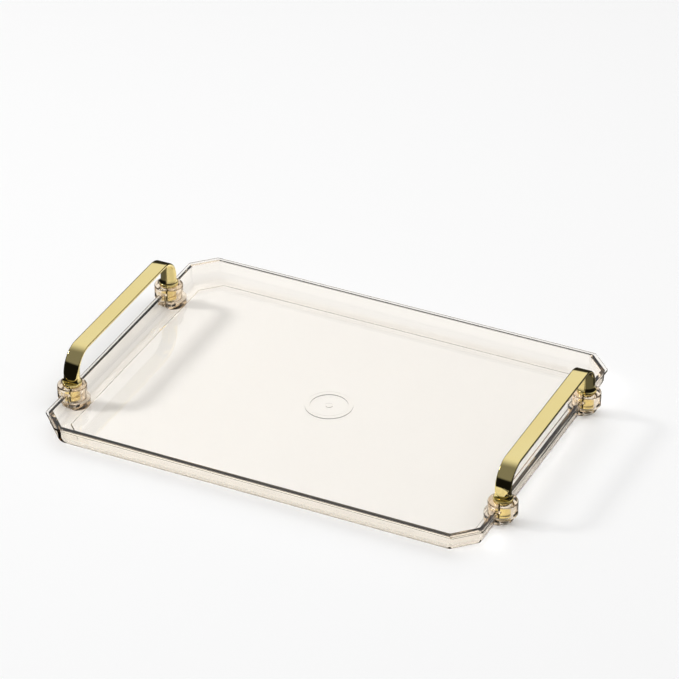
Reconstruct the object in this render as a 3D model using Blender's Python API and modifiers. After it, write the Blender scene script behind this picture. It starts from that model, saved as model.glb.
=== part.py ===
"""Dresser vanity tray: a clear moulded tray with a gold strap handle at each end.

Each handle's two pegs plug into sockets moulded on the tray's rim, and a screw from
below holds each peg. Metres, +Z up. The origin is the middle of the base on the
resting surface, +X runs along the long side and +Y from the front to the back.
"""
import math

import bmesh
import bpy
from mathutils import Matrix

OBJECT_NAME = "dresser_vanity_tray"
GAP = 0.0003                 # clearance between pieces that touch on the real object
OVERLAP = 0.00005            # how far joined shapes reach into each other
MERGE = 0.00001

# Rim and walls
RIM_LENGTH = 0.350
RIM_WIDTH = 0.264
RIM_HEIGHT = 0.016
RIM_CUT = 0.0165             # leg of the 45 degree corner cut at the rim
CUT_SHRINK = 0.15            # part of the inset that this leg loses towards the floor
CORNER_RADIUS = 0.0025
CORNER_STEPS = 2
LIP_WIDTH = 0.0042
LIP_THICKNESS = 0.0018
LIP_BEVEL = 0.0004
LIP_OVERHANG = 0.0016
WALL_FOOT_INSET = 0.002      # outer face of the wall where its cove starts
COVE_TOP = 0.0079
COVE_STEPS = 5
INNER_COVE_RADIUS = 0.0055
INNER_WALL_INSET = 0.0044

# Foot and floor
FOOT_INSET = 0.0099
FOOT_WIDTH = 0.004
FLOOR_TOP = 0.0024
FLOOR_UNDERSIDE = 0.0006
RING_OUTER = 0.01795
RING_INNER = 0.0143
RING_HEIGHT = 0.0004
GATE_RADIUS = 0.0028
GATE_HEIGHT = 0.0003

# Sockets on the rim
SOCKET_X = 0.1735
SOCKET_Y = 0.0775
SOCKET_RADIUS = 0.011
SOCKET_TOP = 0.0183
SOCKET_EDGE = 0.0008
STEP_TOP = 0.008
STEP_SHIFT = 0.0028          # the lower step stands this much nearer the tray's middle
STEP_BOTTOM = 0.002
STEP_EDGE = 0.0022
ROOT_SPREAD = 0.00005        # the step's root is this much wider, so that nothing overhangs the floor
BORE_RADIUS = 0.0063
BORE_BOTTOM = 0.0065
SCREW_HOLE_RADIUS = 0.0018
COUNTERBORE_RADIUS = 0.004
COUNTERBORE_TOP = 0.004
SOCKET_FILLET = 0.004
SOCKET_SEGMENTS = 32

# Handles
HANDLE_OUTER_Y = 0.0805      # outer face of a leg where it meets its collar
HANDLE_TOP = 0.0450
LEG_LEAN = 8                 # degrees that a leg's foot leans outward
STRAP_WIDTH = 0.0124
STRAP_THICKNESS = 0.0028
STRAP_EDGE = 0.0011           # radius round the strap's edges
COLLAR_EDGE = 0.0004
BEND_RADIUS = 0.019
BEND_STEPS = 8
END_STEPS = 6
EDGE_STEPS = 2
STRAP_END = 0.0213           # lowest point of the strap's round end
BACK_RADIUS = 0.0061         # half-round back of each leg
BACK_INSET = 0.0006          # the back stays this far under the strap's outer face
COLLAR_RADIUS = 0.0073
COLLAR_TOP = 0.0208
FLARE_TOP = 0.0245
PEG_RADIUS = BORE_RADIUS - GAP
PEG_BOTTOM = BORE_BOTTOM + 0.0005
PEG_CHAMFER = 0.0008
PILOT_RADIUS = SCREW_HOLE_RADIUS
PILOT_TOP = 0.0165
HANDLE_SEGMENTS = 28

# Screws
SCREW_RADIUS = SCREW_HOLE_RADIUS - GAP
SCREW_TIP = 0.0155
SCREW_POINT = 0.0012
HEAD_RADIUS = COUNTERBORE_RADIUS - 2 * GAP
HEAD_HEIGHT = 0.0016
HEAD_EDGE = 0.0006
RECESS_SPAN = 0.0034
RECESS_WIDTH = 0.0008
RECESS_DEPTH = 0.0008
SCREW_SEGMENTS = 20


def clear_scene():
    for item in list(bpy.data.objects):
        bpy.data.objects.remove(item)


def new_collection(name):
    collection = bpy.data.collections.new(name)
    bpy.context.scene.collection.children.link(collection)
    return collection


def add_object(name, mesh, collection):
    item = bpy.data.objects.new(name, mesh)
    collection.objects.link(item)
    return item


def add_tool(name, mesh, collection):
    """Add a shape that only cuts or joins another one."""
    tool = add_object(name, mesh, collection)
    tool.hide_render = True
    tool.display_type = 'WIRE'
    return tool


def mesh_from(bm, name):
    mesh = bpy.data.meshes.new(name)
    bm.to_mesh(mesh)
    bm.free()
    return mesh


def bake(item):
    """Replace an object's mesh with the one its modifiers make."""
    graph = bpy.context.evaluated_depsgraph_get()
    mesh = bpy.data.meshes.new_from_object(item.evaluated_get(graph))
    item.modifiers.clear()
    item.data = mesh
    return item


def combine(target, tool, operation):
    """Add a Boolean of the tool to the target."""
    modifier = target.modifiers.new(operation.lower(), 'BOOLEAN')
    modifier.operation = operation
    modifier.solver = 'EXACT'
    modifier.object = tool


def arc(centre, radii, start, end, steps):
    """Points along an elliptical arc, with its angles in degrees."""
    points = []
    for step in range(steps + 1):
        angle = math.radians(start + (end - start) * step / steps)
        points.append((centre[0] + radii[0] * math.cos(angle), centre[1] + radii[1] * math.sin(angle)))
    return points


def turned(name, profile, segments, collection, closed=False):
    """Turn (radius, height) points about Z; they run down the outer side."""
    bm = bmesh.new()
    corners = [bm.verts.new((radius, 0, height)) for radius, height in profile]
    for first, second in zip(corners, corners[1:]):
        bm.edges.new((first, second))
    if closed:
        bm.edges.new((corners[-1], corners[0]))
    tool = add_tool(name, mesh_from(bm, name), collection)
    screw = tool.modifiers.new("turn", 'SCREW')
    screw.steps = segments
    screw.render_steps = segments
    screw.use_merge_vertices = True
    screw.merge_threshold = MERGE
    return bake(tool)


def prism(name, outline, low, high, collection):
    """Raise a flat outline in X and Y from one height to another."""
    bm = bmesh.new()
    face = bm.faces.new([bm.verts.new((x, y, low)) for x, y in outline])
    raised = bmesh.ops.extrude_face_region(bm, geom=[face])
    top = [part for part in raised["geom"] if isinstance(part, bmesh.types.BMVert)]
    bmesh.ops.translate(bm, verts=top, vec=(0, 0, high - low))
    bmesh.ops.recalc_face_normals(bm, faces=bm.faces)
    return add_tool(name, mesh_from(bm, name), collection)


def smooth(item, degrees=30):
    item.data.shade_smooth()
    item.data.set_sharp_from_angle(angle=math.radians(degrees))


# ---- Materials ----

def principled(name, colour, roughness, metallic):
    material = bpy.data.materials.new(name)
    material.use_nodes = True
    shader = material.node_tree.nodes["Principled BSDF"]
    shader.inputs["Base Color"].default_value = (*colour, 1)
    shader.inputs["Roughness"].default_value = roughness
    shader.inputs["Metallic"].default_value = metallic
    return material, shader


def clear_plastic():
    """Clear plastic with a light champagne tint."""
    material, shader = principled("clear_plastic", (0.96, 0.88, 0.78), 0.03, 0)
    shader.inputs["Transmission Weight"].default_value = 0.95
    shader.inputs["IOR"].default_value = 1.5
    return material


def gold_plate():
    """Mirror-bright gold plating."""
    return principled("gold_plate", (0.95, 0.74, 0.30), 0.08, 1)[0]


def steel():
    """Plain zinc-plated steel."""
    return principled("steel", (0.62, 0.62, 0.60), 0.3, 1)[0]


# ---- Tray ----

def rim_outline(inset):
    """The tray's plan, a rectangle with cut and softened corners, moved in by inset."""
    half_x = RIM_LENGTH / 2 - inset
    half_y = RIM_WIDTH / 2 - inset
    cut = RIM_CUT - CUT_SHRINK * inset
    radius = CORNER_RADIUS
    tangent = radius * math.tan(math.radians(22.5))
    side = (half_x - radius, half_y - cut - tangent)
    end = (half_x - cut - tangent, half_y - radius)
    quarter = arc(side, (radius, radius), 0, 45, CORNER_STEPS)
    quarter += arc(end, (radius, radius), 45, 90, CORNER_STEPS)
    outline = list(quarter)
    outline += [(-x, y) for x, y in reversed(quarter)]
    outline += [(-x, -y) for x, y in quarter]
    outline += [(x, -y) for x, y in reversed(quarter)]
    return outline


def wall_section():
    """(inset, height) points from the floor's underside, round the wall, to the floor's top."""
    cove = (FOOT_INSET - WALL_FOOT_INSET, COVE_TOP)
    inner = INNER_COVE_RADIUS
    lip_low = RIM_HEIGHT - LIP_THICKNESS
    section = [(FOOT_INSET + FOOT_WIDTH + FLOOR_UNDERSIDE, FLOOR_UNDERSIDE)]
    section += [(FOOT_INSET + FOOT_WIDTH, 0)]
    section += arc((FOOT_INSET, COVE_TOP), cove, 270, 180, COVE_STEPS)
    section += [(LIP_OVERHANG, lip_low), (LIP_BEVEL, lip_low)]
    section += [(0, lip_low + LIP_BEVEL), (0, RIM_HEIGHT - LIP_BEVEL)]
    section += [(LIP_BEVEL, RIM_HEIGHT), (LIP_WIDTH - LIP_BEVEL, RIM_HEIGHT)]
    section += [(LIP_WIDTH, RIM_HEIGHT - LIP_BEVEL)]
    section += arc((INNER_WALL_INSET + inner, FLOOR_TOP + inner), (inner, inner), 180, 270, COVE_STEPS)
    return section


def tray_shell(collection):
    """Loft the wall section round the tray's plan and close it with the floor."""
    bm = bmesh.new()
    rings = []
    for inset, height in wall_section():
        rings.append([bm.verts.new((x, y, height)) for x, y in rim_outline(inset)])
    for lower, upper in zip(rings, rings[1:]):
        for place in range(len(lower)):
            bm.faces.new((lower[place - 1], lower[place], upper[place], upper[place - 1]))
    bm.faces.new(rings[0])
    bm.faces.new(rings[-1])
    bmesh.ops.recalc_face_normals(bm, faces=bm.faces)
    return add_object("tray_body", mesh_from(bm, "tray_body"), collection)


def fillet(line_x, side):
    """Half of one side of a socket's web: a concave arc from the rim's line onto the socket."""
    reach = SOCKET_RADIUS + SOCKET_FILLET
    centre_x = abs(line_x) + SOCKET_FILLET
    centre_y = math.sqrt(reach ** 2 - centre_x ** 2)
    turn = math.degrees(math.atan2(centre_y, centre_x))
    points = arc((centre_x, centre_y), (SOCKET_FILLET, SOCKET_FILLET), 180, 180 + turn, COVE_STEPS)
    return [(side * x, y) for x, y in points]


def socket(collection):
    """One socket about its own axis, with +X pointing away from the tray."""
    edge = SOCKET_EDGE
    foot = STEP_EDGE
    upper = [(0, SOCKET_TOP)]
    upper += arc((SOCKET_RADIUS - edge, SOCKET_TOP - edge), (edge, edge), 90, 0, 2)
    upper += [(SOCKET_RADIUS, STEP_TOP - OVERLAP), (0, STEP_TOP - OVERLAP)]
    lower = [(0, STEP_TOP), (SOCKET_RADIUS, STEP_TOP)]
    lower += arc((SOCKET_RADIUS - foot, STEP_BOTTOM + foot), (foot, foot), 0, -90, 3)
    lower += [(0, STEP_BOTTOM)]
    body = turned("socket", upper, SOCKET_SEGMENTS, collection)
    step = turned("socket_step", lower, SOCKET_SEGMENTS, collection)
    step.location.x = -STEP_SHIFT
    combine(body, step, 'UNION')

    # Inside the tray the step runs straight down into the floor, as a mould needs.
    spread = (SOCKET_RADIUS + ROOT_SPREAD, SOCKET_RADIUS + ROOT_SPREAD)
    half_disc = arc((-STEP_SHIFT, 0), spread, 90, 270, SOCKET_SEGMENTS // 2)
    root = prism("socket_root", half_disc, STEP_BOTTOM, STEP_TOP - OVERLAP, collection)
    combine(body, root, 'UNION')

    rim_line = RIM_LENGTH / 2 - SOCKET_X
    outer = fillet(rim_line - OVERLAP, 1)
    inner = fillet(LIP_WIDTH - rim_line - OVERLAP, -1)
    half = list(reversed(outer)) + inner
    outline = half + [(x, -y) for x, y in reversed(half)]
    low = RIM_HEIGHT - LIP_THICKNESS + OVERLAP
    web = prism("socket_web", outline, low, RIM_HEIGHT - OVERLAP, collection)
    combine(body, web, 'UNION')
    return bake(body)


def socket_cutter(collection):
    """The peg's blind bore, the screw's hole and the counterbore for its head."""
    over = SOCKET_TOP + 0.002
    under = STEP_BOTTOM - 0.002
    profile = [(0, over), (BORE_RADIUS, over), (BORE_RADIUS, BORE_BOTTOM)]
    profile += [(SCREW_HOLE_RADIUS, BORE_BOTTOM), (SCREW_HOLE_RADIUS, COUNTERBORE_TOP)]
    profile += [(COUNTERBORE_RADIUS, COUNTERBORE_TOP), (COUNTERBORE_RADIUS, under), (0, under)]
    return turned("socket_cutter", profile, SOCKET_SEGMENTS, collection)


def floor_marks(collection):
    """The shallow ring and the moulding gate's disc in the middle of the floor."""
    low = FLOOR_TOP - GAP
    ring = [(RING_INNER, FLOOR_TOP + RING_HEIGHT), (RING_OUTER, FLOOR_TOP + RING_HEIGHT)]
    ring += [(RING_OUTER, low), (RING_INNER, low)]
    gate = [(0, FLOOR_TOP + GATE_HEIGHT), (GATE_RADIUS, FLOOR_TOP + GATE_HEIGHT)]
    gate += [(GATE_RADIUS, low), (0, low)]
    return [turned("floor_ring", ring, SOCKET_SEGMENTS, collection, closed=True),
            turned("gate_disc", gate, SCREW_SEGMENTS, collection)]


def socket_places():
    """Name and position of each of the four sockets."""
    for side, sign_x in (("left", -1), ("right", 1)):
        for end, sign_y in (("front", -1), ("back", 1)):
            yield f"{side}_{end}", (sign_x * SOCKET_X, sign_y * SOCKET_Y, 0)


def build_tray(parts, tools):
    """Join one socket to a quarter of the tray, mirror that quarter both ways and add the floor's marks."""
    tray = tray_shell(parts)
    body = socket(tools)
    cutter = socket_cutter(tools)
    for tool in (body, cutter):
        tool.matrix_world = Matrix.Translation((SOCKET_X, SOCKET_Y, 0))
    combine(tray, body, 'UNION')
    combine(tray, cutter, 'DIFFERENCE')
    mirror = tray.modifiers.new("quarters", 'MIRROR')
    mirror.use_axis = (True, True, False)
    mirror.use_bisect_axis = (True, True, False)
    mirror.merge_threshold = MERGE
    for mark in floor_marks(tools):
        combine(tray, mark, 'UNION')
    tray.data.materials.append(clear_plastic())
    bake(tray)
    smooth(tray)


# ---- Handles ----

def bend_centre():
    """Centre of the bend over one leg as (Y, height)."""
    lean = math.radians(LEG_LEAN)
    height = HANDLE_TOP - BEND_RADIUS
    run_out = (height + BEND_RADIUS * math.sin(lean) - COLLAR_TOP) * math.tan(lean)
    return HANDLE_OUTER_Y - BEND_RADIUS * math.cos(lean) - run_out, height


def strap_side(offset, low):
    """Half of the strap's side view as (Y, height), moved in from its outer face by offset."""
    radius = BEND_RADIUS - offset
    bend = arc(bend_centre(), (radius, radius), LEG_LEAN, 90, BEND_STEPS)
    foot_y = bend[0][0] + (bend[0][1] - low) * math.tan(math.radians(LEG_LEAN))
    return [(foot_y, low)] + bend


def whole_arch(half):
    return half + [(-y, z) for y, z in reversed(half)]


def upright(tool):
    """Turn a prism made in X and Y so that its X runs along Y and its Y runs up."""
    tool.data.transform(Matrix.Rotation(math.pi / 2, 4, 'Z') @ Matrix.Rotation(math.pi / 2, 4, 'X'))
    return tool


def leg_length():
    """Straight run of the strap from its lowest point to the bend."""
    lean = math.radians(LEG_LEAN)
    return (bend_centre()[1] + BEND_RADIUS * math.sin(lean) - STRAP_END) / math.cos(lean)


def strap_point(along, depth):
    """(Y, height) of a point this far along the strap from its end and this deep under its outer face."""
    lean = math.radians(LEG_LEAN)
    centre_y, centre_z = bend_centre()
    turn = (along - leg_length()) / BEND_RADIUS
    angle = lean + min(max(turn, 0), math.pi / 2 - lean)
    before = -min(turn, 0) * BEND_RADIUS
    past = max(turn - (math.pi / 2 - lean), 0) * BEND_RADIUS
    y = centre_y + (BEND_RADIUS - depth) * math.cos(angle) + before * math.sin(lean) - past
    return y, centre_z + (BEND_RADIUS - depth) * math.sin(angle) - before * math.cos(lean)


def strap_outline(inset):
    """(distance along, half width) from the strap's round tip to just past its middle."""
    radius = STRAP_WIDTH / 2 - inset
    outline = [(STRAP_WIDTH / 2 - y, x) for x, y in arc((0, 0), (radius, radius), 90, 0, END_STEPS)]
    bend = BEND_RADIUS * (math.pi / 2 - math.radians(LEG_LEAN))
    outline += [(leg_length() + bend * step / BEND_STEPS, radius) for step in range(BEND_STEPS + 1)]
    return outline + [(leg_length() + bend + bend_centre()[0] + STRAP_WIDTH, radius)]


def strap_layers():
    """(depth, inset) of the outline from the strap's outer face, round its edge, to its inner face."""
    radii = (STRAP_EDGE, STRAP_EDGE)
    outer = [(depth, inset) for inset, depth in arc(radii, radii, 270, 180, EDGE_STEPS)]
    return outer + [(STRAP_THICKNESS - depth, inset) for depth, inset in reversed(outer)]


def strap(collection):
    """Loft one half of the bent strap, with round edges and a round lower end."""
    bm = bmesh.new()
    layers = []
    for depth, inset in strap_layers():
        left, right = [], []
        for along, half in strap_outline(inset):
            y, z = strap_point(along, depth)
            left.append(bm.verts.new((-half, -y, z)))
            right.append(bm.verts.new((half, -y, z)) if right else left[0])
        layers.append((left, right))
    for layer, deeper in zip(layers, layers[1:]):
        for chain, below in zip(layer, deeper):
            for place in range(1, len(chain)):
                bm.faces.new((chain[place - 1], chain[place], below[place], below[place - 1]))
    for left, right in (layers[0], layers[-1]):
        bm.faces.new((left[0], left[1], right[1]))
        for place in range(2, len(left)):
            bm.faces.new((left[place - 1], left[place], right[place], right[place - 1]))
    bm.faces.new([left[-1] for left, _ in layers] + [right[-1] for _, right in reversed(layers)])
    bmesh.ops.recalc_face_normals(bm, faces=bm.faces)
    return add_tool("strap", mesh_from(bm, "strap"), collection)


def leg_back(collection):
    """The half-round back of the front leg, flared at its foot and kept under the strap's face."""
    flare = (COLLAR_RADIUS - BACK_RADIUS, FLARE_TOP - COLLAR_TOP + OVERLAP)
    profile = [(0, HANDLE_TOP)]
    profile += [(BACK_RADIUS, HANDLE_TOP)]
    profile += arc((COLLAR_RADIUS, FLARE_TOP), flare, 180, 270, 3)
    profile += [(0, COLLAR_TOP - OVERLAP)]
    back = turned("leg_back", profile, HANDLE_SEGMENTS, collection)
    back.data.transform(Matrix.Translation((0, -SOCKET_Y, 0)))
    half = strap_side(BACK_INSET, 0)
    envelope = upright(prism("leg_mask", whole_arch(half), -STRAP_WIDTH, STRAP_WIDTH, collection))
    combine(back, envelope, 'INTERSECT')
    return bake(back)


def peg(collection):
    """The collar that sits on the socket, the peg inside it and the screw's pilot hole."""
    base = SOCKET_TOP + GAP
    edge = COLLAR_EDGE
    profile = [(0, COLLAR_TOP), (COLLAR_RADIUS - edge, COLLAR_TOP), (COLLAR_RADIUS, COLLAR_TOP - edge)]
    profile += [(COLLAR_RADIUS, base), (PEG_RADIUS, base), (PEG_RADIUS, PEG_BOTTOM + PEG_CHAMFER)]
    profile += [(PEG_RADIUS - PEG_CHAMFER, PEG_BOTTOM), (PILOT_RADIUS, PEG_BOTTOM)]
    profile += [(PILOT_RADIUS, PILOT_TOP - PILOT_RADIUS), (0, PILOT_TOP)]
    foot = turned("peg", profile, HANDLE_SEGMENTS, collection)
    foot.data.transform(Matrix.Translation((0, -SOCKET_Y, 0)))
    return foot


def build_handles(parts, tools):
    arch = strap(tools)
    combine(arch, leg_back(tools), 'UNION')
    combine(arch, peg(tools), 'UNION')
    mirror = arch.modifiers.new("back_half", 'MIRROR')
    mirror.use_axis = (False, True, False)
    mirror.use_bisect_axis = (False, True, False)
    mirror.use_bisect_flip_axis = (False, True, False)
    mirror.merge_threshold = MERGE
    bake(arch)
    arch.data.materials.append(gold_plate())
    smooth(arch)
    for name, sign in (("handle_left", -1), ("handle_right", 1)):
        handle = add_object(name, arch.data, parts)
        handle.location.x = sign * SOCKET_X


# ---- Screws ----

def screw_shape(tools):
    """A pan-head screw pointing up, with a cross recess under its head."""
    seat = COUNTERBORE_TOP - GAP
    low = seat - HEAD_HEIGHT
    edge = HEAD_EDGE
    profile = [(0, SCREW_TIP), (SCREW_RADIUS, SCREW_TIP - SCREW_POINT), (SCREW_RADIUS, seat)]
    profile += [(HEAD_RADIUS, seat)]
    profile += arc((HEAD_RADIUS - edge, low + edge), (edge, edge), 0, -90, 2)
    profile += [(0, low)]
    shape = turned("screw", profile, SCREW_SEGMENTS, tools)
    for name, span in (("recess_x", (RECESS_SPAN, RECESS_WIDTH)), ("recess_y", (RECESS_WIDTH, RECESS_SPAN))):
        corners = [(sx * span[0] / 2, sy * span[1] / 2) for sx, sy in ((-1, -1), (1, -1), (1, 1), (-1, 1))]
        slot = prism(name, corners, low - RECESS_DEPTH, low + RECESS_DEPTH, tools)
        combine(shape, slot, 'DIFFERENCE')
    bake(shape)
    shape.data.materials.append(steel())
    smooth(shape)
    return shape.data


def build_screws(parts, tools):
    mesh = screw_shape(tools)
    for name, place in socket_places():
        screw = add_object(f"screw_{name}", mesh, parts)
        screw.location = place


def main():
    clear_scene()
    parts = new_collection(OBJECT_NAME)
    tools = new_collection("cutters")
    build_tray(parts, tools)
    build_handles(parts, tools)
    build_screws(parts, tools)


main()
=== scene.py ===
"""The looks of the dresser vanity tray: clear champagne moulding, gold handles, studio light."""
import math

import bmesh
import bpy
from mathutils import Matrix, Vector


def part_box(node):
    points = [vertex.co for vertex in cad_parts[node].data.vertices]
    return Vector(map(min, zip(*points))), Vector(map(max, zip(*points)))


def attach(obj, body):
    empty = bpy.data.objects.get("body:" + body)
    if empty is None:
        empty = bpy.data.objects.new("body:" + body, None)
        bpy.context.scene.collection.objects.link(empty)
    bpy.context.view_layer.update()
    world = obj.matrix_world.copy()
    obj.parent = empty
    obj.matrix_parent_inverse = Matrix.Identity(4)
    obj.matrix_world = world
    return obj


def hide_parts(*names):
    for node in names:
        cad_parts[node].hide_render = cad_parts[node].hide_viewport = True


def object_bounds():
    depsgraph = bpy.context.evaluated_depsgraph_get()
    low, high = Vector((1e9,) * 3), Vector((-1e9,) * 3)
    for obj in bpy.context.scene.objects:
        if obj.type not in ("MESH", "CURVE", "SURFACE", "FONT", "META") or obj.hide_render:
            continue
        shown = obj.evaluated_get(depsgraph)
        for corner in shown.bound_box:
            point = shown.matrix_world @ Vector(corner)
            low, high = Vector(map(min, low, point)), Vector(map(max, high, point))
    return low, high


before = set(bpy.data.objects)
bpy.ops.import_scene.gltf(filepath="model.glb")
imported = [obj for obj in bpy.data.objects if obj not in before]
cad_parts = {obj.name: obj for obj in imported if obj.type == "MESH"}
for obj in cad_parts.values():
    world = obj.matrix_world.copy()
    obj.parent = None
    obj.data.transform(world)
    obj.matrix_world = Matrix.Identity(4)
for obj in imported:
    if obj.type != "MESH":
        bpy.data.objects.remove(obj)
CAD_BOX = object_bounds()

MM = 0.001
MERGE = 0.000005             # points closer than this are joined, in metres
LEVEL_COSINE = 0.99999       # a face whose normal is this upright counts as level

# The tray, in millimetres. These repeat the CAD model's driving dimensions.
RIM_HEIGHT = 16.0
RIM_CUT = 16.5
CUT_SHRINK = 0.15
CORNER_RADIUS = 2.5
LIP_WIDTH = 4.2
LIP_THICKNESS = 1.8
LIP_BEVEL = 0.4
LIP_OVERHANG = 1.6
WALL_FOOT_INSET = 2.0
COVE_TOP = 7.9
INNER_COVE_RADIUS = 5.5
INNER_WALL_INSET = 4.4
FOOT_INSET = 9.9
FOOT_WIDTH = 4.0
FLOOR_TOP = 2.4
FLOOR_UNDERSIDE = 0.6
RING_OUTER = 17.95
RING_INNER = 14.3
RING_HEIGHT = 0.4
RING_DRAFT = 0.15
GATE_RADIUS = 2.8
GATE_HEIGHT = 0.3
MARK_DEPTH = 0.3             # how deep the ring and the gate mark reach into the floor

# The sockets. Their axes stand SOCKET_INSET inside the rim's ends.
SOCKET_Y = 77.5
SOCKET_INSET = 1.5
SOCKET_RADIUS = 11.0
SOCKET_TOP = 18.3
SOCKET_EDGE = 0.8
STEP_TOP = 8.0
STEP_SHIFT = 2.8
STEP_BOTTOM = 2.0
STEP_EDGE = 2.2
STEP_CHAMFER = 0.4
ROOT_SPREAD = 0.05
BORE_RADIUS = 6.3
BORE_BOTTOM = 6.5
SCREW_HOLE_RADIUS = 1.8
COUNTERBORE_RADIUS = 4.0
COUNTERBORE_TOP = 4.0
SOCKET_FILLET = 4.0
CUTTER_REACH = 2

GAP = 0.3                    # play between a handle and its sockets
OVERLAP = 0.05               # how deep solids reach into each other before they are joined
FLOOR_GAP = 0.0001           # air under the foot ring, in metres

# The handles, in millimetres and degrees.
HANDLE_OUTER_Y = 80.5
LEG_LEAN = 8
STRAP_WIDTH = 12.4
STRAP_THICKNESS = 2.8
STRAP_EDGE = 1.1
COLLAR_EDGE = 0.4
BEND_RADIUS = 19.0
STRAP_END = 21.3
BACK_RADIUS = 6.1
BACK_INSET = 0.6
COLLAR_RADIUS = 7.3
COLLAR_TOP = 20.8
FLARE_TOP = 24.5
PEG_RADIUS = BORE_RADIUS - GAP
PEG_END_GAP = 0.5
PEG_BOTTOM = BORE_BOTTOM + PEG_END_GAP
PEG_CHAMFER = 0.8
PILOT_TOP = 16.5

# How finely the curves are cut, and the angles in degrees above which an edge stays sharp.
CORNER_STEPS = 6
COVE_STEPS = 12
LIP_STEPS = 3
SOCKET_EDGE_STEPS = 5
STEP_EDGE_STEPS = 6
SOCKET_SEGMENTS = 96
GATE_SEGMENTS = 48
HANDLE_SEGMENTS = 72
BEND_STEPS = 24
END_STEPS = 16
EDGE_STEPS = 5
FLARE_STEPS = 8
COLLAR_STEPS = 4
TRAY_SHARP_ANGLE = 24
HANDLE_SHARP_ANGLE = 32

# Places taken from the frame.
TRAY_LOW, TRAY_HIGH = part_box("tray_body")
HANDLE_LOW, HANDLE_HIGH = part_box("handle_right")
SOCKET_X = (HANDLE_LOW.x + HANDLE_HIGH.x) / 2 / MM
HANDLE_TOP = HANDLE_HIGH.z / MM
RIM_WIDTH = (TRAY_HIGH.y - TRAY_LOW.y) / MM
RIM_LENGTH = (TRAY_HIGH.x - TRAY_LOW.x) / MM - 2 * (SOCKET_RADIUS - SOCKET_INSET)

# The camera: where it looks, from which side and how high, and its lens.
CAMERA_AZIMUTH = 25.27
CAMERA_ELEVATION = 32.68
CAMERA_ROLL = 0.195
CAMERA_DISTANCE = 3.0597
CAMERA_AIM = (-0.0334, 0.0885, 0.0)
CAMERA_LENS = 213.3
CAMERA_FAR = 50
SENSOR = 36.0

# The studio dome is dark near and below the horizon, bright behind the tray and dimmer in front.
# Each stop is a height from -1 to 1 and a brightness. The narrow bright step below the horizon
# was added for thin glints in the gold, and stands for nothing in the photograph.
HORIZON_STOPS = (
    (-0.57, 0.03), (-0.54, 0.50), (-0.50, 0.50), (-0.47, 0.03), (0.34, 0.03), (0.46, 1.0))
BACKDROP_RISE = 0.35         # how much height adds to the place toward the back
FRONT_EDGE = 0.15
BACK_EDGE = 0.85
FRONT_LEVEL = 0.22
BACK_LEVEL = 0.85

# Two square lamps aimed at the origin, and the floor.
KEY_PLACE = (-1.7, -0.45, 1.45)
KEY_SIZE = 0.30
KEY_POWER = 9
FILL_PLACE = (0.1, 0.3, 2.6)
FILL_SIZE = 3.2
FILL_POWER = 58
FLOOR_REACH = 6
FLOOR_COLOUR = (0.93, 0.93, 0.93, 1)
FLOOR_ROUGHNESS = 0.55

# Materials. A grain is a noise scale and detail, a relief is a bump distance and strength.
PLASTIC_COLOUR = (1.0, 0.997, 0.988, 1)
PLASTIC_TINT = (0.95, 0.68, 0.27, 1)
PLASTIC_DENSITY = 40
PLASTIC_IOR = 1.5
PLASTIC_WAVES = (14, 2)
PLASTIC_WAVE_RELIEF = (0.0006, 0.25)
PLASTIC_HAZE = (260, 4)
PLASTIC_ROUGHNESS = (0.004, 0.03)
GOLD_DEEP = (0.92, 0.75, 0.31, 1)
GOLD_PALE = (0.95, 0.82, 0.40, 1)
GOLD_DRIFT = (30, 3)
GOLD_MARKS = (1800, 3)
GOLD_MARK_STRETCH = (1, 0.03, 0.4)
GOLD_MARK_RELIEF = (0.00002, 0.05)
GOLD_ROUGHNESS = (0.025, 0.075)
ZINC_DARK = (0.50, 0.50, 0.49, 1)
ZINC_PALE = (0.70, 0.70, 0.68, 1)
ZINC_MOTTLE = (900, 4)
ZINC_RELIEF = (0.00005, 0.2)
ZINC_ROUGHNESS = (0.22, 0.42)


# ---- Shapes ----

def mesh_from(bm, name):
    mesh = bpy.data.meshes.new(name)
    bm.to_mesh(mesh)
    bm.free()
    return mesh


def add_object(name, mesh):
    item = bpy.data.objects.new(name, mesh)
    bpy.context.scene.collection.objects.link(item)
    return item


def bake(item):
    """Replace an object's mesh with the one its modifiers make."""
    bpy.context.view_layer.update()
    graph = bpy.context.evaluated_depsgraph_get()
    mesh = bpy.data.meshes.new_from_object(item.evaluated_get(graph))
    item.modifiers.clear()
    item.data = mesh
    return item


def combine(target, tool, operation):
    modifier = target.modifiers.new(operation.lower(), 'BOOLEAN')
    modifier.operation = operation
    modifier.solver = 'EXACT'
    modifier.object = tool


def arc(centre, radii, start, end, steps):
    """Points along an elliptical arc, with its angles in degrees."""
    points = []
    for step in range(steps + 1):
        angle = math.radians(start + (end - start) * step / steps)
        x = centre[0] + radii[0] * math.cos(angle)
        points.append((x, centre[1] + radii[1] * math.sin(angle)))
    return points


def turned(name, profile, segments, closed=False):
    """Turn (radius, height) points in millimetres about Z; they run down the outer side."""
    bm = bmesh.new()
    points = [bm.verts.new((radius * MM, 0, height * MM)) for radius, height in profile]
    for first, second in zip(points, points[1:]):
        bm.edges.new((first, second))
    if closed:
        bm.edges.new((points[-1], points[0]))
    item = add_object(name, mesh_from(bm, name))
    screw = item.modifiers.new("turn", 'SCREW')
    screw.steps = segments
    screw.render_steps = segments
    screw.use_merge_vertices = True
    screw.merge_threshold = MERGE
    return bake(item)


def prism(name, outline, low, high):
    """Raise a flat outline in X and Y, in millimetres."""
    bm = bmesh.new()
    face = bm.faces.new([bm.verts.new((x * MM, y * MM, low * MM)) for x, y in outline])
    raised = bmesh.ops.extrude_face_region(bm, geom=[face])
    top = [part for part in raised["geom"] if isinstance(part, bmesh.types.BMVert)]
    bmesh.ops.translate(bm, verts=top, vec=(0, 0, (high - low) * MM))
    bmesh.ops.recalc_face_normals(bm, faces=bm.faces)
    return add_object(name, mesh_from(bm, name))


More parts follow.
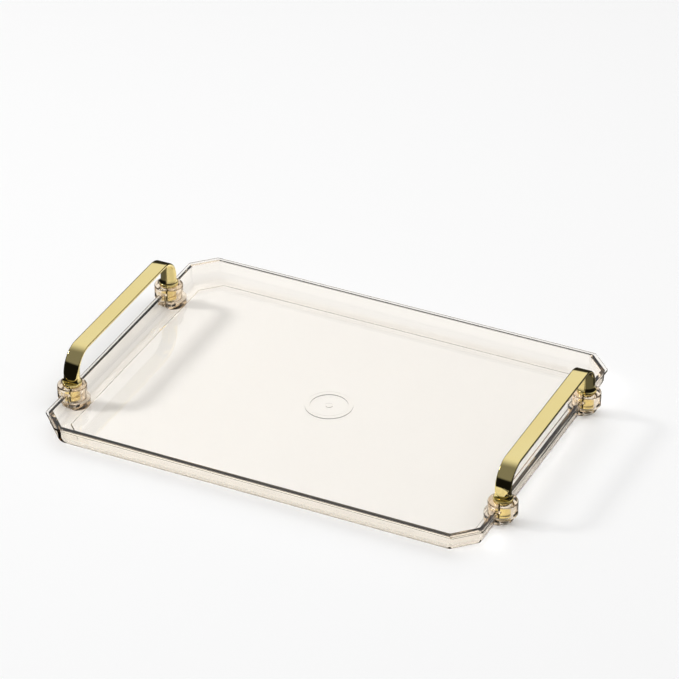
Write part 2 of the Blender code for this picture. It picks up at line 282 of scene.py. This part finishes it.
def smooth(item, degrees):
    """Shade round faces smooth and keep level faces truly flat."""
    item.data.shade_smooth()
    item.data.set_sharp_from_angle(angle=math.radians(degrees))
    for face in item.data.polygons:
        if abs(face.normal.z) > LEVEL_COSINE:
            face.use_smooth = False


def remove_tools(tools):
    for tool in tools:
        bpy.data.objects.remove(tool)


# ---- Tray ----

def rim_outline(inset):
    """The tray's plan, a rectangle with cut and softened corners, moved in by inset."""
    half_x = RIM_LENGTH / 2 - inset
    half_y = RIM_WIDTH / 2 - inset
    cut = RIM_CUT - CUT_SHRINK * inset
    radius = CORNER_RADIUS
    tangent = radius * math.tan(math.radians(45 / 2))
    radii = (radius, radius)
    quarter = arc((half_x - radius, half_y - cut - tangent), radii, 0, 45, CORNER_STEPS)
    quarter += arc((half_x - cut - tangent, half_y - radius), radii, 45, 90, CORNER_STEPS)
    outline = list(quarter)
    outline += [(-x, y) for x, y in reversed(quarter)]
    outline += [(-x, -y) for x, y in quarter]
    outline += [(x, -y) for x, y in reversed(quarter)]
    return outline


def wall_section():
    """(inset, height) points from the floor's underside, round the wall, to the floor's top."""
    cove = (FOOT_INSET - WALL_FOOT_INSET, COVE_TOP)
    inner = INNER_COVE_RADIUS
    bevel = (LIP_BEVEL, LIP_BEVEL)
    lip_low = RIM_HEIGHT - LIP_THICKNESS
    foot_end = FOOT_INSET + FOOT_WIDTH
    inner_centre = (INNER_WALL_INSET + inner, FLOOR_TOP + inner)
    section = [(foot_end + FLOOR_UNDERSIDE, FLOOR_UNDERSIDE), (foot_end, 0)]
    section += arc((FOOT_INSET, COVE_TOP), cove, 270, 180, COVE_STEPS)
    section += [(LIP_OVERHANG, lip_low)]
    section += arc((LIP_BEVEL, lip_low + LIP_BEVEL), bevel, 270, 180, LIP_STEPS)
    section += arc((LIP_BEVEL, RIM_HEIGHT - LIP_BEVEL), bevel, 180, 90, LIP_STEPS)
    section += arc((LIP_WIDTH - LIP_BEVEL, RIM_HEIGHT - LIP_BEVEL), bevel, 90, 0, LIP_STEPS)
    section += arc(inner_centre, (inner, inner), 180, 270, COVE_STEPS)
    return section


def tray_shell():
    bm = bmesh.new()
    rings = []
    for inset, height in wall_section():
        rings.append([bm.verts.new((x * MM, y * MM, height * MM)) for x, y in rim_outline(inset)])
    for lower, upper in zip(rings, rings[1:]):
        for place in range(len(lower)):
            bm.faces.new((lower[place - 1], lower[place], upper[place], upper[place - 1]))
    bm.faces.new(rings[0])
    bm.faces.new(rings[-1])
    bmesh.ops.recalc_face_normals(bm, faces=bm.faces)
    return add_object("clear_tray", mesh_from(bm, "clear_tray"))


def fillet(line_x, side):
    """A concave arc from the rim's line onto the socket."""
    reach = SOCKET_RADIUS + SOCKET_FILLET
    centre_x = abs(line_x) + SOCKET_FILLET
    centre_y = math.sqrt(reach ** 2 - centre_x ** 2)
    turn = math.degrees(math.atan2(centre_y, centre_x))
    points = arc((centre_x, centre_y), (SOCKET_FILLET, SOCKET_FILLET), 180, 180 + turn, COVE_STEPS)
    return [(side * x, y) for x, y in points]


def socket():
    """One socket about its own axis, with +X pointing away from the tray."""
    edge = SOCKET_EDGE
    foot = STEP_EDGE
    upper = [(0, SOCKET_TOP)]
    upper += arc((SOCKET_RADIUS - edge, SOCKET_TOP - edge), (edge, edge), 90, 0, SOCKET_EDGE_STEPS)
    upper += [(SOCKET_RADIUS, STEP_TOP - OVERLAP), (0, STEP_TOP - OVERLAP)]
    lower = [(0, STEP_TOP), (SOCKET_RADIUS - STEP_CHAMFER, STEP_TOP)]
    lower += [(SOCKET_RADIUS, STEP_TOP - STEP_CHAMFER)]
    lower += arc((SOCKET_RADIUS - foot, STEP_BOTTOM + foot), (foot, foot), 0, -90, STEP_EDGE_STEPS)
    lower += [(0, STEP_BOTTOM)]
    body = turned("socket", upper, SOCKET_SEGMENTS)
    step = turned("socket_step", lower, SOCKET_SEGMENTS)
    step.location.x = -STEP_SHIFT * MM
    # Inside the tray the step runs straight down into the floor, as it does in the CAD model.
    root_radii = (SOCKET_RADIUS + ROOT_SPREAD, SOCKET_RADIUS + ROOT_SPREAD)
    half_disc = arc((-STEP_SHIFT, 0), root_radii, 90, 270, SOCKET_SEGMENTS // 2)
    root = prism("socket_root", half_disc, STEP_BOTTOM, STEP_TOP - OVERLAP)
    rim_line = RIM_LENGTH / 2 - SOCKET_X
    half = list(reversed(fillet(rim_line - OVERLAP, 1)))
    half += fillet(LIP_WIDTH - rim_line - OVERLAP, -1)
    outline = half + [(x, -y) for x, y in reversed(half)]
    web = prism("socket_web", outline, RIM_HEIGHT - LIP_THICKNESS + OVERLAP, RIM_HEIGHT - OVERLAP)
    combine(body, step, 'UNION')
    combine(body, root, 'UNION')
    combine(body, web, 'UNION')
    bake(body)
    remove_tools([step, root, web])
    return body


def socket_cutter():
    over = SOCKET_TOP + CUTTER_REACH
    under = STEP_BOTTOM - CUTTER_REACH
    profile = [(0, over), (BORE_RADIUS, over), (BORE_RADIUS, BORE_BOTTOM)]
    profile += [(SCREW_HOLE_RADIUS, BORE_BOTTOM), (SCREW_HOLE_RADIUS, COUNTERBORE_TOP)]
    profile += [(COUNTERBORE_RADIUS, COUNTERBORE_TOP), (COUNTERBORE_RADIUS, under), (0, under)]
    return turned("socket_cutter", profile, SOCKET_SEGMENTS)


def floor_marks():
    low = FLOOR_TOP - MARK_DEPTH
    ring = [(RING_INNER, FLOOR_TOP + RING_HEIGHT), (RING_OUTER, FLOOR_TOP + RING_HEIGHT)]
    ring += [(RING_OUTER + RING_DRAFT, low), (RING_INNER - RING_DRAFT, low)]
    gate = [(0, FLOOR_TOP + GATE_HEIGHT), (GATE_RADIUS, FLOOR_TOP + GATE_HEIGHT)]
    gate += [(GATE_RADIUS, low), (0, low)]
    ring_mark = turned("floor_ring", ring, SOCKET_SEGMENTS, closed=True)
    return [ring_mark, turned("gate_disc", gate, GATE_SEGMENTS)]


def build_tray(material):
    """Join one socket to the tray, mirror that quarter both ways, then join the floor's marks."""
    tray = tray_shell()
    place = Matrix.Translation((SOCKET_X * MM, SOCKET_Y * MM, 0))
    body, cutter = socket(), socket_cutter()
    for tool in (body, cutter):
        tool.matrix_world = place
    combine(tray, body, 'UNION')
    combine(tray, cutter, 'DIFFERENCE')
    mirror = tray.modifiers.new("quarters", 'MIRROR')
    mirror.use_axis = (True, True, False)
    mirror.use_bisect_axis = (True, True, False)
    mirror.merge_threshold = MERGE
    marks = floor_marks()
    for mark in marks:
        combine(tray, mark, 'UNION')
    bake(tray)
    remove_tools(marks + [body, cutter])
    smooth(tray, TRAY_SHARP_ANGLE)
    tray.data.materials.clear()
    tray.data.materials.append(material)
    tray.visible_shadow = False
    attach(tray, "root")
    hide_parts("tray_body")


# ---- Handles ----

def bend_centre():
    """Centre of the bend over one leg as (Y, height)."""
    lean = math.radians(LEG_LEAN)
    height = HANDLE_TOP - BEND_RADIUS
    run_out = (height + BEND_RADIUS * math.sin(lean) - COLLAR_TOP) * math.tan(lean)
    return HANDLE_OUTER_Y - BEND_RADIUS * math.cos(lean) - run_out, height


def strap_side(offset, low):
    """Half of the strap's side view as (Y, height), moved in from its outer face by offset."""
    radius = BEND_RADIUS - offset
    bend = arc(bend_centre(), (radius, radius), LEG_LEAN, 90, BEND_STEPS)
    foot_y = bend[0][0] + (bend[0][1] - low) * math.tan(math.radians(LEG_LEAN))
    return [(foot_y, low)] + bend


def whole_arch(half):
    return half + [(-y, z) for y, z in reversed(half)]


def upright(tool):
    """Turn a prism made in X and Y so that its X runs along Y and its Y runs up."""
    tool.data.transform(Matrix.Rotation(math.pi / 2, 4, 'Z') @ Matrix.Rotation(math.pi / 2, 4, 'X'))
    return tool


def leg_length():
    """Straight run of the strap from its lowest point to the bend."""
    lean = math.radians(LEG_LEAN)
    return (bend_centre()[1] + BEND_RADIUS * math.sin(lean) - STRAP_END) / math.cos(lean)


def strap_point(along, depth):
    """(Y, height) of a point so far along the strap from its end and so deep under its face."""
    lean = math.radians(LEG_LEAN)
    centre_y, centre_z = bend_centre()
    turn = (along - leg_length()) / BEND_RADIUS
    whole_turn = math.pi / 2 - lean
    angle = lean + min(max(turn, 0), whole_turn)
    before = -min(turn, 0) * BEND_RADIUS
    past = max(turn - whole_turn, 0) * BEND_RADIUS
    y = centre_y + (BEND_RADIUS - depth) * math.cos(angle) + before * math.sin(lean) - past
    return y, centre_z + (BEND_RADIUS - depth) * math.sin(angle) - before * math.cos(lean)


def strap_outline(inset):
    """(distance along, half width) from the strap's round tip to just past its middle."""
    radius = STRAP_WIDTH / 2 - inset
    outline = [(STRAP_WIDTH / 2 - y, x) for x, y in arc((0, 0), (radius, radius), 90, 0, END_STEPS)]
    bend = BEND_RADIUS * (math.pi / 2 - math.radians(LEG_LEAN))
    leg = leg_length()
    outline += [(leg + bend * step / BEND_STEPS, radius) for step in range(BEND_STEPS + 1)]
    return outline + [(leg + bend + bend_centre()[0] + STRAP_WIDTH, radius)]


def strap_layers():
    """(depth, inset) of the outlines from the outer face, round the edge, to the inner face."""
    radii = (STRAP_EDGE, STRAP_EDGE)
    outer = [(depth, inset) for inset, depth in arc(radii, radii, 270, 180, EDGE_STEPS)]
    return outer + [(STRAP_THICKNESS - depth, inset) for depth, inset in reversed(outer)]


def strap():
    """Loft one half of the bent strap, with round edges and a round lower end."""
    bm = bmesh.new()
    layers = []
    for depth, inset in strap_layers():
        left, right = [], []
        for along, half in strap_outline(inset):
            y, z = strap_point(along, depth)
            left.append(bm.verts.new((-half * MM, -y * MM, z * MM)))
            right.append(bm.verts.new((half * MM, -y * MM, z * MM)) if right else left[0])
        layers.append((left, right))
    for layer, deeper in zip(layers, layers[1:]):
        for chain, below in zip(layer, deeper):
            for place in range(1, len(chain)):
                bm.faces.new((chain[place - 1], chain[place], below[place], below[place - 1]))
    for left, right in (layers[0], layers[-1]):
        bm.faces.new((left[0], left[1], right[1]))
        for place in range(2, len(left)):
            bm.faces.new((left[place - 1], left[place], right[place], right[place - 1]))
    bm.faces.new([left[-1] for left, _ in layers] + [right[-1] for _, right in reversed(layers)])
    bmesh.ops.recalc_face_normals(bm, faces=bm.faces)
    return add_object("strap", mesh_from(bm, "strap"))


def leg_back():
    """The half-round back of a leg, flared onto its collar and cut to the strap's side view."""
    flare = (COLLAR_RADIUS - BACK_RADIUS, FLARE_TOP - COLLAR_TOP + OVERLAP)
    profile = [(0, HANDLE_TOP), (BACK_RADIUS, HANDLE_TOP)]
    profile += arc((COLLAR_RADIUS, FLARE_TOP), flare, 180, 270, FLARE_STEPS)
    profile += [(0, COLLAR_TOP - OVERLAP)]
    back = turned("leg_back", profile, HANDLE_SEGMENTS)
    back.data.transform(Matrix.Translation((0, -SOCKET_Y * MM, 0)))
    half = strap_side(BACK_INSET, 0)
    envelope = upright(prism("leg_mask", whole_arch(half), -STRAP_WIDTH, STRAP_WIDTH))
    combine(back, envelope, 'INTERSECT')
    bake(back)
    remove_tools([envelope])
    return back


def peg():
    """The collar on top of a socket and the peg inside it, with the screw's pilot hole."""
    base = SOCKET_TOP + GAP
    edge = COLLAR_EDGE
    profile = [(0, COLLAR_TOP)]
    profile += arc((COLLAR_RADIUS - edge, COLLAR_TOP - edge), (edge, edge), 90, 0, COLLAR_STEPS)
    profile += [(COLLAR_RADIUS, base), (PEG_RADIUS, base), (PEG_RADIUS, PEG_BOTTOM + PEG_CHAMFER)]
    profile += [(PEG_RADIUS - PEG_CHAMFER, PEG_BOTTOM), (SCREW_HOLE_RADIUS, PEG_BOTTOM)]
    profile += [(SCREW_HOLE_RADIUS, PILOT_TOP - SCREW_HOLE_RADIUS), (0, PILOT_TOP)]
    foot = turned("peg", profile, HANDLE_SEGMENTS)
    foot.data.transform(Matrix.Translation((0, -SOCKET_Y * MM, 0)))
    return foot


def build_handles(material):
    """Build half a handle, mirror it, and place a copy on each end of the tray."""
    arch = strap()
    tools = [leg_back(), peg()]
    for tool in tools:
        combine(arch, tool, 'UNION')
    mirror = arch.modifiers.new("back_half", 'MIRROR')
    mirror.use_axis = (False, True, False)
    mirror.use_bisect_axis = (False, True, False)
    mirror.use_bisect_flip_axis = (False, True, False)
    mirror.merge_threshold = MERGE
    bake(arch)
    remove_tools(tools)
    smooth(arch, HANDLE_SHARP_ANGLE)
    arch.data.materials.clear()
    arch.data.materials.append(material)
    for side, sign in (("left", -1), ("right", 1)):
        handle = add_object(f"gold_handle_{side}", arch.data.copy())
        handle.location.x = sign * SOCKET_X * MM
        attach(handle, "root")
        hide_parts(f"handle_{side}")
    bpy.data.objects.remove(arch)


# ---- Materials ----

def new_material(name):
    material = bpy.data.materials.new(name)
    material.use_nodes = True
    return material, material.node_tree, material.node_tree.nodes["Principled BSDF"]


def noise(tree, grain, vector):
    node = tree.nodes.new("ShaderNodeTexNoise")
    node.inputs["Scale"].default_value, node.inputs["Detail"].default_value = grain
    tree.links.new(vector, node.inputs["Vector"])
    return node.outputs["Fac"]


def spread(tree, value, limits):
    """Map a 0 to 1 value onto the two limits."""
    node = tree.nodes.new("ShaderNodeMapRange")
    node.inputs["To Min"].default_value, node.inputs["To Max"].default_value = limits
    tree.links.new(value, node.inputs["Value"])
    return node.outputs["Result"]


def bump(tree, height, relief):
    node = tree.nodes.new("ShaderNodeBump")
    node.inputs["Distance"].default_value, node.inputs["Strength"].default_value = relief
    tree.links.new(height, node.inputs["Height"])
    return node.outputs["Normal"]


def mix_colour(tree, factor, first, second):
    node = tree.nodes.new("ShaderNodeMix")
    node.data_type = 'RGBA'
    node.inputs["A"].default_value = first
    node.inputs["B"].default_value = second
    tree.links.new(factor, node.inputs["Factor"])
    return node.outputs["Result"]


def clear_plastic():
    """Champagne plastic: clear, with faint waves and a tint that deepens along long paths."""
    material, tree, shader = new_material("clear_champagne")
    place = tree.nodes.new("ShaderNodeTexCoord").outputs["Object"]
    waves = noise(tree, PLASTIC_WAVES, place)
    tree.links.new(bump(tree, waves, PLASTIC_WAVE_RELIEF), shader.inputs["Normal"])
    haze = noise(tree, PLASTIC_HAZE, place)
    tree.links.new(spread(tree, haze, PLASTIC_ROUGHNESS), shader.inputs["Roughness"])
    shader.inputs["Base Color"].default_value = PLASTIC_COLOUR
    shader.inputs["IOR"].default_value = PLASTIC_IOR
    shader.inputs["Transmission Weight"].default_value = 1
    absorb = tree.nodes.new("ShaderNodeVolumeAbsorption")
    absorb.inputs["Color"].default_value = PLASTIC_TINT
    absorb.inputs["Density"].default_value = PLASTIC_DENSITY
    output = tree.nodes["Material Output"]
    tree.links.new(absorb.outputs["Volume"], output.inputs["Volume"])
    return material


def gold_plate():
    """Mirror-bright plating with slight colour drift, fine haze and hairline polishing marks."""
    material, tree, shader = new_material("gold_mirror")
    place = tree.nodes.new("ShaderNodeTexCoord").outputs["Object"]
    drift = noise(tree, GOLD_DRIFT, place)
    tree.links.new(mix_colour(tree, drift, GOLD_DEEP, GOLD_PALE), shader.inputs["Base Color"])
    stretch = tree.nodes.new("ShaderNodeMapping")
    stretch.inputs["Scale"].default_value = GOLD_MARK_STRETCH
    tree.links.new(place, stretch.inputs["Vector"])
    marks = noise(tree, GOLD_MARKS, stretch.outputs["Vector"])
    tree.links.new(spread(tree, marks, GOLD_ROUGHNESS), shader.inputs["Roughness"])
    tree.links.new(bump(tree, marks, GOLD_MARK_RELIEF), shader.inputs["Normal"])
    shader.inputs["Metallic"].default_value = 1
    return material


def screw_steel():
    """Zinc-plated steel with a grainy, slightly mottled finish."""
    material, tree, shader = new_material("screw_zinc")
    place = tree.nodes.new("ShaderNodeTexCoord").outputs["Object"]
    mottle = noise(tree, ZINC_MOTTLE, place)
    tree.links.new(mix_colour(tree, mottle, ZINC_DARK, ZINC_PALE), shader.inputs["Base Color"])
    tree.links.new(spread(tree, mottle, ZINC_ROUGHNESS), shader.inputs["Roughness"])
    tree.links.new(bump(tree, mottle, ZINC_RELIEF), shader.inputs["Normal"])
    shader.inputs["Metallic"].default_value = 1
    return material


def finish_screws(material):
    """Give the carried-over CAD screws their material."""
    for name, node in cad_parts.items():
        if name.startswith("screw_"):
            node.data.materials.clear()
            node.data.materials.append(material)


# ---- Stage, light and camera ----

def build_floor():
    bm = bmesh.new()
    bmesh.ops.create_grid(bm, x_segments=1, y_segments=1, size=FLOOR_REACH)
    floor = add_object("studio_floor", mesh_from(bm, "studio_floor"))
    floor.location.z = CAD_BOX[0][2] - FLOOR_GAP
    floor.visible_glossy = False
    material, _, shader = new_material("studio_white")
    shader.inputs["Base Color"].default_value = FLOOR_COLOUR
    shader.inputs["Roughness"].default_value = FLOOR_ROUGHNESS
    floor.data.materials.append(material)


def add_light(name, place, size, power):
    """A square lamp aimed at the origin, hidden from rays that pass through the plastic."""
    data = bpy.data.lights.new(name, 'AREA')
    data.shape = 'RECTANGLE'
    data.size = data.size_y = size
    data.energy = power
    light = bpy.data.objects.new(name, data)
    bpy.context.scene.collection.objects.link(light)
    light.location = place
    light.rotation_euler = (-Vector(place)).to_track_quat('-Z', 'Y').to_euler()
    light.visible_transmission = False
    return light


def build_light():
    add_light("key_left", KEY_PLACE, KEY_SIZE, KEY_POWER)
    fill = add_light("fill_top", FILL_PLACE, FILL_SIZE, FILL_POWER)
    fill.visible_glossy = False
    build_world()
    bpy.context.scene.view_settings.view_transform = 'Standard'


def ramp(tree, value, low, high, to_low, to_high):
    """Ease from to_low to to_high while the value runs from low to high."""
    node = tree.nodes.new("ShaderNodeMapRange")
    node.interpolation_type = 'SMOOTHSTEP'
    node.inputs["From Min"].default_value = low
    node.inputs["From Max"].default_value = high
    node.inputs["To Min"].default_value = to_low
    node.inputs["To Max"].default_value = to_high
    tree.links.new(value, node.inputs["Value"])
    return node.outputs["Result"]


def height_levels(tree, height):
    """Brightness by height, from the horizon stops."""
    node = tree.nodes.new("ShaderNodeValToRGB")
    elements = node.color_ramp.elements
    while len(elements) < len(HORIZON_STOPS):
        elements.new(0.5)
    for element, (level, brightness) in zip(elements, HORIZON_STOPS):
        element.position = (level + 1) / 2
        element.color = (brightness, brightness, brightness, 1)
    # The ramp runs from 0 to 1 where heights run from -1 to 1.
    share = tree.nodes.new("ShaderNodeMapRange")
    share.inputs["From Min"].default_value = -1
    tree.links.new(height, share.inputs["Value"])
    tree.links.new(share.outputs["Result"], node.inputs["Fac"])
    return node.outputs["Color"]


def build_world():
    """A bright backdrop above a dark horizon, for dark lines in edges and mirror faces."""
    world = bpy.data.worlds.new("studio_world")
    world.use_nodes = True
    tree = world.node_tree
    direction = tree.nodes.new("ShaderNodeTexCoord").outputs["Generated"]
    split = tree.nodes.new("ShaderNodeSeparateXYZ")
    tree.links.new(direction, split.inputs["Vector"])
    depth = tree.nodes.new("ShaderNodeMath")
    depth.operation = 'MULTIPLY_ADD'
    depth.inputs[1].default_value = BACKDROP_RISE
    tree.links.new(split.outputs["Z"], depth.inputs[0])
    tree.links.new(split.outputs["Y"], depth.inputs[2])
    horizon = height_levels(tree, split.outputs["Z"])
    backdrop = ramp(tree, depth.outputs["Value"], FRONT_EDGE, BACK_EDGE, FRONT_LEVEL, BACK_LEVEL)
    strength = tree.nodes.new("ShaderNodeMath")
    strength.operation = 'MULTIPLY'
    tree.links.new(horizon, strength.inputs[0])
    tree.links.new(backdrop, strength.inputs[1])
    background = tree.nodes["Background"]
    background.inputs["Color"].default_value = (1, 1, 1, 1)
    tree.links.new(strength.outputs["Value"], background.inputs["Strength"])
    bpy.context.scene.world = world


def build_camera():
    azimuth = math.radians(CAMERA_AZIMUTH)
    elevation = math.radians(CAMERA_ELEVATION)
    back = Vector((math.sin(azimuth) * math.cos(elevation),
                   -math.cos(azimuth) * math.cos(elevation), math.sin(elevation)))
    data = bpy.data.cameras.new("camera")
    data.lens = CAMERA_LENS
    data.sensor_width = SENSOR
    data.clip_end = CAMERA_FAR
    camera = bpy.data.objects.new("camera", data)
    bpy.context.scene.collection.objects.link(camera)
    stand = Matrix.Translation(Vector(CAMERA_AIM) + back * CAMERA_DISTANCE)
    turn = back.to_track_quat('Z', 'Y').to_matrix().to_4x4()
    camera.matrix_world = stand @ turn @ Matrix.Rotation(math.radians(CAMERA_ROLL), 4, 'Z')
    bpy.context.scene.camera = camera


build_camera()
build_tray(clear_plastic())
build_handles(gold_plate())
finish_screws(screw_steel())
build_floor()
build_light()
